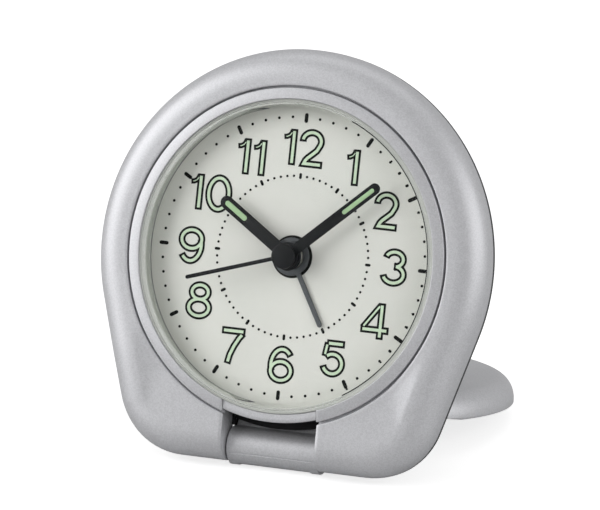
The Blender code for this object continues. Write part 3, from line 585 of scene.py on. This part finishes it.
# dark side walls of the opening: the cheek is a black sheet of painted shade that hides the arm, the web is
# black plastic; outline, nearest and farthest X, bevel, look
WALLS = (
    ("slot_cheek", [(-30.6, -1.9), (-33.38, -1.9), (-33.38, -6.3), (-32.9, -7.1), (-30.6, -7.1)],
     8.97, 9.7, 0.0, SHADE_BLACK),
    ("slot_web", [(-30.6, -6.1), (-33.7, -6.1), (-33.7, -6.5), (-32.9, -7.1), (-30.6, -7.1)],
     9.3, 13.0, 0.05, BLACK_PLASTIC),
)
for side in (-1, 1):
    for name, outline, near, far, bevel, look in WALLS:
        place("%s_%s" % (name, side_name(side)), plate([outline], *sorted((side * near, side * far)), bevel),
              look, "case", (), CLOCK @ SIDE_ON)

# ------------------------------------------------------------------ dial and its print
DISC = [(29.3, 0, 0.08), (29.3, -0.5, 0.05), (2.45, -0.5, 0), (2.45, 0, 0.05)]
place("dial_disc", turned(rounded(DISC), 160), DIAL, "case", ("dial",))


def arc(cx, cy, rx, ry, a0, a1, n):
    """Part of an ellipse from angle a0 to a1, in degrees from +X."""
    return [(cx + rx * math.cos(math.radians(a0 + (a1 - a0) * i / n)),
             cy + ry * math.sin(math.radians(a0 + (a1 - a0) * i / n))) for i in range(n + 1)]


STEM, FLAG = 0.72, 0.52              # half widths of the strokes
GLYPHS = {                           # each stroke: path about the numeral's middle, closed or not, half width
    "0": [(arc(0, 0, 2.1, 3.02, 90, 450, 40)[:-1], True, STEM)],
    "1": [([(0, 3.5), (0, -3.5)], False, STEM),
          ([(-2.0, 1.86), (-1.35, 1.95), (-0.85, 2.2), (-0.5, 2.65), (-0.32, 3.2)], False, FLAG)],
    "2": [(arc(0, 1.42, 1.88, 1.7, 186, -28, 22)
           + [(1.15, -0.3), (0.3, -1.05), (-0.6, -1.8), (-1.05, -2.35), (-1.3, -2.92), (2.5, -2.95)],
           False, STEM)],
    "3": [(arc(0, 1.62, 1.76, 1.42, 172, -90, 22), False, STEM),
          (arc(0, -1.25, 2.05, 1.62, 90, -174, 22), False, STEM)],
    "4": [([(1.4, 3.5), (1.4, -3.5)], False, STEM), ([(-2.6, -1.72), (3.15, -1.72)], False, STEM),
          ([(-2.25, -1.5), (1.2, 3.2)], False, STEM * 0.85)],
    "5": [([(-1.5, 2.88), (2.2, 2.88)], False, STEM), ([(-1.3, 3.0), (-1.72, 0.3)], False, STEM * 0.9),
          (arc(0, -1.02, 1.92, 1.88, 142, -168, 24), False, STEM)],
    "6": [(arc(0, -1.15, 2.08, 1.8, 90, 450, 32)[:-1], True, STEM),
          (arc(0.05, 0, 2.15, 3.02, 36, 205, 22), False, STEM)],
    "7": [([(-2.45, 2.88), (2.45, 2.88)], False, STEM),
          ([(2.05, 2.6), (1.2, 1.5), (0.35, 0.0), (-0.35, -1.7), (-0.72, -3.5)], False, STEM)],
    "8": [(arc(0, 1.62, 1.7, 1.38, 90, 450, 28)[:-1], True, STEM),
          (arc(0, -1.36, 2.1, 1.62, 90, 450, 32)[:-1], True, STEM)],
    "9": [(arc(0, 1.15, 2.08, 1.8, 90, 450, 32)[:-1], True, STEM),
          (arc(-0.05, 0, 2.15, 3.02, 216, 385, 22), False, STEM)],
}
# digit and the place of its middle on the dial
NUMERALS = [
    ("1", -2.13, 20.9), ("2", 1.66, 20.9), ("1", 11.1, 18.2), ("2", 18.1, 10.55), ("3", 20.85, 0.0),
    ("4", 17.95, -10.4), ("5", 10.4, -18.5), ("6", 0.0, -20.85), ("7", -10.4, -18.3),
    ("8", -18.15, -10.35), ("9", -21.0, 0.1), ("1", -20.35, 10.5), ("0", -16.4, 10.5),
    ("1", -11.4, 18.2), ("1", -8.15, 18.2),
]


def shorten(pts, cut):
    """Line with a length cut off its start."""
    while len(pts) > 2 and (pts[1] - pts[0]).length <= cut:
        cut -= (pts[1] - pts[0]).length
        pts = pts[1:]
    return [pts[0] + (pts[1] - pts[0]).normalized() * cut] + pts[1:]


def stroke(path, half, closed, z0, z1, trim=0.0):
    """Closed bar of even width along a path, between two heights."""
    pts = [Vector(p) for p in path]
    if trim and not closed:
        pts = shorten(shorten(pts, trim)[::-1], trim)[::-1]
    n = len(pts)
    points, faces = [], []
    for i, p in enumerate(pts):
        before = pts[i - 1] if (i or closed) else None
        after = pts[(i + 1) % n] if (i < n - 1 or closed) else None
        d1 = (p - before).normalized() if before is not None else (after - p).normalized()
        d2 = (after - p).normalized() if after is not None else d1
        mid = (d1 + d2).normalized()
        side = Vector((-mid.y, mid.x))
        reach = half / max(0.4, side.dot(Vector((-d1.y, d1.x))))
        for z in (z0, z1):
            points.append((p.x + side.x * reach, p.y + side.y * reach, z))
            points.append((p.x - side.x * reach, p.y - side.y * reach, z))
    for i in range(n if closed else n - 1):
        a, b = 4 * i, 4 * ((i + 1) % n)
        faces += [(a, a + 1, b + 1, b), (a + 2, b + 2, b + 3, a + 3),
                  (a, b, b + 2, a + 2), (a + 1, a + 3, b + 3, b + 1)]
    if not closed:
        e = 4 * (n - 1)
        faces += [(0, 2, 3, 1), (e, e + 1, e + 3, e + 2)]
    return points, faces


def merge(shapes):
    """Several (points, faces) shapes as one."""
    points, faces = [], []
    for p, f in shapes:
        base = len(points)
        points += p
        faces += [tuple(i + base for i in face) for face in f]
    return points, faces


def numeral_shapes(shrink, z0, z1):
    """All numerals, with strokes narrowed and shortened by shrink; each next stroke lies a hair higher."""
    shapes = []
    for glyph, x, y in NUMERALS:
        for j, (path, closed, half) in enumerate(GLYPHS[glyph]):
            moved = [(px + x, py + y) for px, py in path]
            shapes.append(stroke(moved, half - shrink, closed, z0, z1 + STROKE_LIFT * j, shrink))
    return merge(shapes)


def marks(radius, count, dot, long_every, r0, r1, half):
    """Ring of round dots; every long_every-th one is a bar from r0 to r1 with round ends instead."""
    shapes = []
    for k in range(count):
        a = 2 * math.pi * k / count
        c, s = math.sin(a), math.cos(a)
        if k % long_every == 0:
            tips = []
            for r, flip in ((r1 - half, 0), (r0 + half, math.pi)):
                for i in range(9):
                    b = math.pi * i / 8 + flip
                    tips.append((half * math.cos(b), r + half * math.sin(b)))
            shape = [(x * s + y * c, -x * c + y * s) for x, y in tips]
        else:
            shape = [(radius * c + x, radius * s + y) for x, y in circle(dot, 14)]
        n = len(shape)
        points = [(x, y, z) for z in (PRINT_FOOT, PRINT_TOP) for x, y in shape]
        faces = [tuple(range(n))[::-1], tuple(range(n, 2 * n))]
        faces += [(i, (i + 1) % n, n + (i + 1) % n, n + i) for i in range(n)]
        shapes.append((points, faces))
    return merge(shapes)


PRINT_FOOT, PRINT_TOP, STROKE_LIFT = 0.002, 0.03, 0.004
place("numeral_outlines", numeral_shapes(0.0, PRINT_FOOT, PRINT_TOP), PRINT_AND_SHADOW, "case", ())
place("numeral_lume", numeral_shapes(0.44, 0.02, 0.055), LUME, "case", ())
place("minute_marks", marks(26.8, 60, 0.28, 5, 25.75, 27.65, 0.36), PRINT_AND_SHADOW, "case", ())
place("alarm_marks", marks(15.51, 72, 0.25, 6, 14.95, 16.1, 0.27), PRINT_AND_SHADOW, "case", ())


# ------------------------------------------------------------------ hands
def blade(hub, half, tip, hole, n=56):
    """Outline of a straight hand that points up: round hub, parallel sides, round tip, and its hole."""
    a0 = math.asin(half / hub)
    line = [(hub * math.sin(a), hub * math.cos(a))
            for a in (2 * math.pi - a0 - (2 * math.pi - 2 * a0) * i / n for i in range(n + 1))]
    line += [(half * math.cos(a), tip - half + half * math.sin(a))
             for a in (math.pi * i / 14 for i in range(15))]
    return [line, circle(hole)]


def slot_loop(half, y0, y1, n=10):
    """Outline of a slot with round ends, for the luminous fill of a hand."""
    loop = []
    for y, flip in ((y1 - half, 0), (y0 + half, 1)):
        for i in range(n + 1):
            a = math.pi * (flip + i / n)
            loop.append((half * math.cos(a), y + half * math.sin(a)))
    return loop


place("hub_ring", plate([circle(4.12, 72), circle(3.4, 64)], 0.002, 0.03), PRINT_AND_SHADOW, "case", ())
HOUR_SLOT, MINUTE_SLOT = [slot_loop(0.52, 11.05, 16.55)], [slot_loop(0.42, 14.05, 21.85)]
# piece, loops, bottom, top, bevel, look, body, CAD node, slot, direction
HANDS = (
    ("alarm_hand_blade", blade(3.68, 0.5, 14.8, 2.45), 0.3, 0.58, 0.09,
     HAND_GREY, "alarm_group", "alarm_hand", "hand_grey", ALARM),
    ("hour_hand_blade", blade(2.75, 1.27, 17.6, 1.85) + HOUR_SLOT, 2.2, 2.58, 0.1,
     HAND_BLACK, "hour_group", "hour_hand", "hand_black", HOUR),
    ("hour_lume_fill", HOUR_SLOT, 2.25, 2.53, 0.03,
     HAND_LUME, "hour_group", "hour_lume", "lume", HOUR),
    ("minute_hand_blade", blade(2.3, 1.08, 23.1, 1.25) + MINUTE_SLOT, 2.95, 3.3, 0.1,
     HAND_BLACK, "minute_group", "minute_hand", "hand_black", MINUTE),
    ("minute_lume_fill", MINUTE_SLOT, 3.0, 3.25, 0.03,
     HAND_LUME, "minute_group", "minute_lume", "lume", MINUTE),
    ("second_hand_blade", blade(1.2, 0.38, 20.7, 0.6), 4.2, 4.42, 0.06,
     HAND_BLACK, "second_group", "second_hand", "hand_black", SECOND),
)
for name, loops, bottom, top, bevel, look, body, node, slot, direction in HANDS:
    place(name, plate(loops, bottom, top, bevel), look, body, (node,), spin(direction))
CAP = [(0, 5.08, 0), (2.4, 5.1, 0.18), (2.4, 4.5, 0.1), (0, 4.5, 0)]
place("second_hand_cap", turned(rounded(CAP, closed=False), 64, closed=False), HAND_BLACK, "second_group",
      ("second_cap",))

# ------------------------------------------------------------------ folding lid
LID_C, LID_R, RIM, TOP, CROWN = 37.15, 32.5, 5.6, 10.6, 0.8
# crowned outer face, soft shoulder, thin rim that enters the frame's groove, then the hollow inside
shell = [(0, TOP + CROWN)] + [(28.5 * k / 8, TOP + CROWN - CROWN * (k / 8) ** 2) for k in range(1, 9)]
for k in range(1, 13):
    a = math.radians(90 - 90 * k / 12)
    shell.append((28.5 + 4.0 * math.cos(a), RIM + 0.5 + (TOP - RIM - 0.5) * math.sin(a)))
shell += [(LID_R, RIM + 0.06), (LID_R - 0.05, RIM), (LID_R - 0.13, RIM), (LID_R - 0.18, RIM + 0.06),
          (LID_R - 0.18, 7.35), (LID_R - 0.5, 7.5)]
for k in range(1, 9):
    a = math.radians(90 * k / 8)
    shell.append((28.2 + 3.75 * math.cos(a), 7.6 + 2.1 * math.sin(a)))
shell += [(18.0, 10.1), (0, 10.3)]
tray = place("lid_shell", turned(shell, 176, closed=False), SILVER, "lid_leaf", ("lid", "hinge_cap"),
             LID @ Matrix.Translation((0, LID_C * MM, 0)), angle=40)


def carve(ob, block, at):
    """Cuts a mesh out of a piece. The boolean is applied at once, so that no helper is left behind."""
    tool = bpy.data.objects.new("cutter", block)
    bpy.context.scene.collection.objects.link(tool)
    tool.data.transform(at)
    mod = ob.modifiers.new("carve", 'BOOLEAN')
    mod.operation = 'DIFFERENCE'
    mod.solver = 'EXACT'
    mod.object = tool
    bpy.context.view_layer.update()
    mesh = bpy.data.meshes.new_from_object(ob.evaluated_get(bpy.context.evaluated_depsgraph_get()))
    ob.modifiers.clear()
    ob.data = mesh
    mesh.name = ob.name
    bpy.data.objects.remove(tool, do_unlink=True)


ARM_RELIEF = [(-4, -2), (26, -2), (26, 5.4), (24, 5.4), (10, 7.4), (-4, 7.4)]
carve(tray, plate([ARM_RELIEF], -45, 45), LID @ SIDE_ON)
ARM = [(-1.0, 1.5, 0), (-1.0, 3.4, 0.3), (0.2, 3.7, 0.5), (1.0, 5.0, 9), (2.4, 7.2, 9), (4.6, 9.2, 9),
       (7.2, 10.35, 9), (9.6, 10.7, 0), (9.6, 9.5, 0), (7.6, 9.3, 1.5), (5.6, 7.7, 2), (4.2, 4.6, 2),
       (3.3, 2.9, 0.5), (2.6, 1.8, 0)]
ARM_HALF = 8.9
place("lid_arm", plate([rounded(ARM)], -ARM_HALF, ARM_HALF, 0.25), SILVER, "lid_leaf", (),
      LID @ SIDE_ON)


BARREL = [(3.68, 9.35, 0.22), (3.68, 7.3, 0), (3.68, -7.3, 0), (3.68, -9.35, 0.22), (1.3, -9.35, 0.1),
          (1.3, 9.35, 0.1)]
down = (LID @ ALONG_X).inverted().to_3x3() @ Vector((0, 0, -1))
FOOT_TURN, FOOT_LIFT = math.atan2(down.y, down.x), 0.19


def barrel_mesh(steps=112):
    """Hinge barrel whose two feet stand out only at the underside."""
    line = rounded(BARREL, steps=4)
    dense = []
    for i, (r, z) in enumerate(line):
        dense.append((r, z))
        z2 = line[(i + 1) % len(line)][1]
        if abs(z2 - z) > 1.0 and r > 3:
            dense += [(r, z + (z2 - z) * k / 24) for k in range(1, 24)]
    points, faces = [], []
    n = len(dense)
    for i in range(steps):
        a = 2 * math.pi * i / steps
        under = smooth((math.cos(a - FOOT_TURN) - 0.72) / 0.12)
        for r, z in dense:
            grow = FOOT_LIFT * under * smooth((abs(z) - 7.25) / 0.35) if r > 3 else 0.0
            points.append(((r + grow) * math.cos(a), (r + grow) * math.sin(a), z))
        m = (i + 1) % steps
        faces += [(i * n + k, m * n + k, m * n + (k + 1) % n, i * n + (k + 1) % n) for k in range(n)]
    return points, faces


barrel = place("hinge_barrel", barrel_mesh(), SILVER, "lid_leaf", (), LID @ ALONG_X)


def box_mesh(x, y, z):
    """Plain block between pairs of limits, used only as a cutting tool."""
    mesh = bpy.data.meshes.new("box")
    work = bmesh.new()
    bmesh.ops.create_cube(work, size=1.0)
    bmesh.ops.scale(work, vec=Vector((x[1] - x[0], y[1] - y[0], z[1] - z[0])) * MM, verts=work.verts)
    bmesh.ops.translate(work, vec=Vector((x[0] + x[1], y[0] + y[1], z[0] + z[1])) * MM / 2, verts=work.verts)
    work.to_mesh(mesh)
    work.free()
    return mesh


BARREL_SEAM = ((-8.8, 8.8), (-6, -3.44), (-1.02, -0.93))
carve(barrel, box_mesh(*BARREL_SEAM), LID)

# ------------------------------------------------------------------ CAD nodes that keep their shape
LOOKS = {
    "silver_paint": SILVER, "dark_plastic": BLACK_PLASTIC, "cream_plastic": CREAM, "gear_plastic": ACETAL,
    "movement_plastic": MOVEMENT, "steel": STEEL, "copper": COPPER, "brass": BRASS, "board_green": BOARD,
    "magnet": FERRITE, "battery_wrap": WRAP, "switch_grey": GREY_PLASTIC, "hand_black": HAND_BLACK,
    "hand_grey": HAND_GREY, "lume": HAND_LUME, "dial_white": DIAL, "clear_plastic": CRYSTAL,
}
SLOT_OF = {row["node"]: row["material_slot"] for row in frame["record"]["subparts"]}
for name, ob in frame["nodes"].items():
    ob.data.materials.clear()
    ob.data.materials.append(LOOKS[SLOT_OF[name]])


def refined(node, bevel, angle=30.0):
    """Smooth-shaded copy of a CAD node, with softened edges, that stands for it."""
    source = frame["nodes"][node]
    slot = SLOT_OF[node]
    ob = place(node + "_shell", source.data.copy(), LOOKS[slot], source["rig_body"], (node,),
               Matrix.Identity(4), angle)
    work = bmesh.new()
    work.from_mesh(ob.data)
    bmesh.ops.dissolve_limit(work, angle_limit=math.radians(0.6), verts=work.verts, edges=work.edges)
    if bevel:
        sharp = [edge for edge in work.edges
                 if len(edge.link_faces) == 2 and edge.calc_face_angle(0) > math.radians(angle)]
        bmesh.ops.bevel(work, geom=sharp, offset=bevel * MM, segments=2, profile=0.5, affect='EDGES',
                        clamp_overlap=True)
    work.to_mesh(ob.data)
    work.free()
    ob.data.shade_smooth()
    ob.data.set_sharp_from_angle(angle=math.radians(angle))


for node, soft in (("rear_case", 0.0), ("battery_door", 0.12), ("alarm_switch", 0.12),
                   ("snooze_button", 0.15), ("movement_holder", 0.0)):
    refined(node, soft)

# ------------------------------------------------------------------ knobs and moulded marks on the back
TIME_SET, ALARM_SET = (-18.527, 8.591), (13.236, -2.334)
RIBS, RIB_DEPTH, KNOB_STEPS = 36, 0.22, 216
FACE_Z, DISH_Z, GRIP_Z = -24.0, -23.55, -21.2     # a knob's outer ring, dished face and inner side
MARK_OUT, MARK_IN = -21.0, -20.7                  # heights of the curved arrows


def knob(name, centre, r, seat, top, body):
    """Ribbed grip with a dished face on its stem."""
    face = [(0, DISH_Z), (r * 0.55, -23.6), (r * 0.66, -23.9), (r * 0.74, FACE_Z), (r - 0.45, FACE_Z),
            (r - 0.12, -23.85), (r, -23.6), (r, -21.45), (r - 0.12, -21.25), (r - 0.3, GRIP_Z), (1.2, GRIP_Z),
            (1.2, seat), (0.7, seat), (0.7, top), (0, top)]
    n = len(face)
    points, faces = [], []
    for i in range(KNOB_STEPS):
        a = 2 * math.pi * i / KNOB_STEPS
        rib = RIB_DEPTH * (0.5 - 0.5 * math.cos(RIBS * a))
        for reach, z in face:
            q = reach - rib if reach > r - 0.2 else reach
            points.append((centre[0] + q * math.cos(a), centre[1] + q * math.sin(a), z))
        j = (i + 1) % KNOB_STEPS
        faces += [(i * n + k, j * n + k, j * n + k + 1, i * n + k + 1) for k in range(n - 1)]
    place(name + "_grip", (points, faces), BLACK_PLASTIC, body, (name,), angle=50)


knob("time_set_knob", TIME_SET, 5.0, -6.6, -5.5, "time_setter")
knob("alarm_set_knob", ALARM_SET, 4.4, -4.1, -3.1, "alarm_setter")


def arrow_arc(centre, r, a0, a1):
    """Curved arrow round a knob, from angle a0 to a1 and on to its tip."""
    line = arc(centre[0], centre[1], r, r, a0, a1, 20)
    shapes = [stroke(line, 0.22, False, MARK_OUT, MARK_IN)]
    end, tip = math.radians(a1), math.radians(a1 + math.copysign(9, a1 - a0))
    tri = [((r + d) * math.cos(a) + centre[0], (r + d) * math.sin(a) + centre[1])
           for d, a in ((0.75, end), (0.0, tip), (-0.75, end))]
    shapes.append(([(x, y, z) for z in (MARK_OUT, MARK_IN) for x, y in tri],
                   [(0, 1, 2), (3, 5, 4), (0, 3, 4, 1), (1, 4, 5, 2), (2, 5, 3, 0)]))
    return merge(shapes)


MARK = surface("moulded_mark_grey", (0.30, 0.30, 0.31), 0.5, vary=0.08, patch=600, grain=2500,
               depth=0.02)
place("time_arrow", arrow_arc(TIME_SET, 6.6, 50, 130), MARK, "case", ())
place("alarm_arrow", arrow_arc(ALARM_SET, 6.0, 130, 50), MARK, "case", ())
DOT = [(0, -20.95), (0.55, -20.95), (0.62, -20.7), (0, -20.7)]
RING = [(0.45, -20.95), (0.8, -20.95), (0.8, -20.7), (0.45, -20.7)]
DOOR_ARROW = [(8.0, -17.2), (11.0, -15.35), (8.0, -13.5)]
PAD = [(2.9, -4.75, 0.1), (3.7, -4.75, 0.1), (3.7, -4.5, 0), (2.9, -4.5, 0)]
place("switch_mark_on", turned(DOT, 32, closed=False), MARK, "case", (), shifted(-9.6, 21.5))
place("switch_mark_off", turned(RING, 32), MARK, "case", (), shifted(5.0, 21.5))
place("door_arrow", plate([DOOR_ARROW], -20.9, -20.6, 0.05), BLACK_PLASTIC, "door", ())
for x in (26.5, -26.5):
    place("foot_pad_%d" % (x > 0), turned(rounded(PAD), 48), BLACK_PLASTIC, "case", (),
          shifted(x, -31.5))

# ------------------------------------------------------------------ camera, floor and light
scene = bpy.context.scene
AZIMUTH, ELEVATION = math.radians(21.98), math.radians(16.01)
LENS, DISTANCE = 338.9, 1.082
SHIFT_RIGHT, SHIFT_UP = 0.001456, 0.000329
sin_a, cos_a = math.sin(AZIMUTH), math.cos(AZIMUTH)
sin_e, cos_e = math.sin(ELEVATION), math.cos(ELEVATION)
RIGHT = Vector((cos_a, sin_a, 0))
UP = Vector((-sin_a * sin_e, cos_a * sin_e, cos_e))
BACK = Vector((sin_a * cos_e, -cos_a * cos_e, sin_e))
camera = bpy.data.objects.new("camera", bpy.data.cameras.new("camera"))
scene.collection.objects.link(camera)
camera.data.lens = LENS
camera.data.sensor_width = 36.0
camera.data.clip_start = 0.01
camera.location = FACE + DISTANCE * BACK + SHIFT_RIGHT * RIGHT + SHIFT_UP * UP
camera.rotation_euler = Matrix((RIGHT, UP, BACK)).transposed().to_euler()
scene.camera = camera


def brighter_when_seen(tree, strength, lit, seen):
    """Strength of the studio's white: one value as light, another straight to the viewer."""
    path = tree.nodes.new("ShaderNodeLightPath")
    level = tree.nodes.new("ShaderNodeMapRange")
    level.inputs["To Min"].default_value = lit
    level.inputs["To Max"].default_value = seen
    tree.links.new(path.outputs["Is Camera Ray"], level.inputs["Value"])
    tree.links.new(level.outputs["Result"], strength)


FLOOR_HALF, FLOOR_GAP = 6.0, 0.0002
floor_mat = surface("pale_floor", (0.60, 0.60, 0.60), 0.9, vary=0.01, patch=3, grain=40, depth=0.0)
glow = floor_mat.node_tree.nodes["Principled BSDF"]
glow.inputs["Emission Color"].default_value = (1, 1, 1, 1)
brighter_when_seen(floor_mat.node_tree, glow.inputs["Emission Strength"], 0.0, 0.74)
floor_mesh = bpy.data.meshes.new("floor")
floor_mesh.from_pydata([(x * FLOOR_HALF, y * FLOOR_HALF, 0) for x, y in ((-1, -1), (1, -1), (1, 1), (-1, 1))],
                       [], [(0, 1, 2, 3)])
floor = bpy.data.objects.new("floor", floor_mesh)
floor_mesh.materials.append(floor_mat)
scene.collection.objects.link(floor)
floor.location.z = CAD_BOX[0].z - FLOOR_GAP

world = bpy.data.worlds.new("studio")
scene.world = world
world.use_nodes = True
backdrop = world.node_tree.nodes["Background"]
backdrop.inputs["Color"].default_value = (1.0, 1.0, 1.0, 1)
brighter_when_seen(world.node_tree, backdrop.inputs["Strength"], 0.46, 1.0)
scene.view_settings.view_transform = 'Standard'


def softbox(name, where, size, power):
    aim = (0, 0, 0.04)
    light = bpy.data.lights.new(name, 'AREA')
    light.shape = 'RECTANGLE'
    light.size, light.size_y = size
    light.energy = power
    ob = bpy.data.objects.new(name, light)
    scene.collection.objects.link(ob)
    ob.location = where
    ob.rotation_euler = (Vector(aim) - Vector(where)).to_track_quat('-Z', 'Y').to_euler()


softbox("key", (-1.0, -0.58, 0.45), (1.05, 1.1), 8.8)
softbox("side", (1.0, -0.2, 0.40), (1.25, 0.9), 5.0)
softbox("top", (-0.1, 0.25, 1.1), (1.1, 0.5), 1.4)
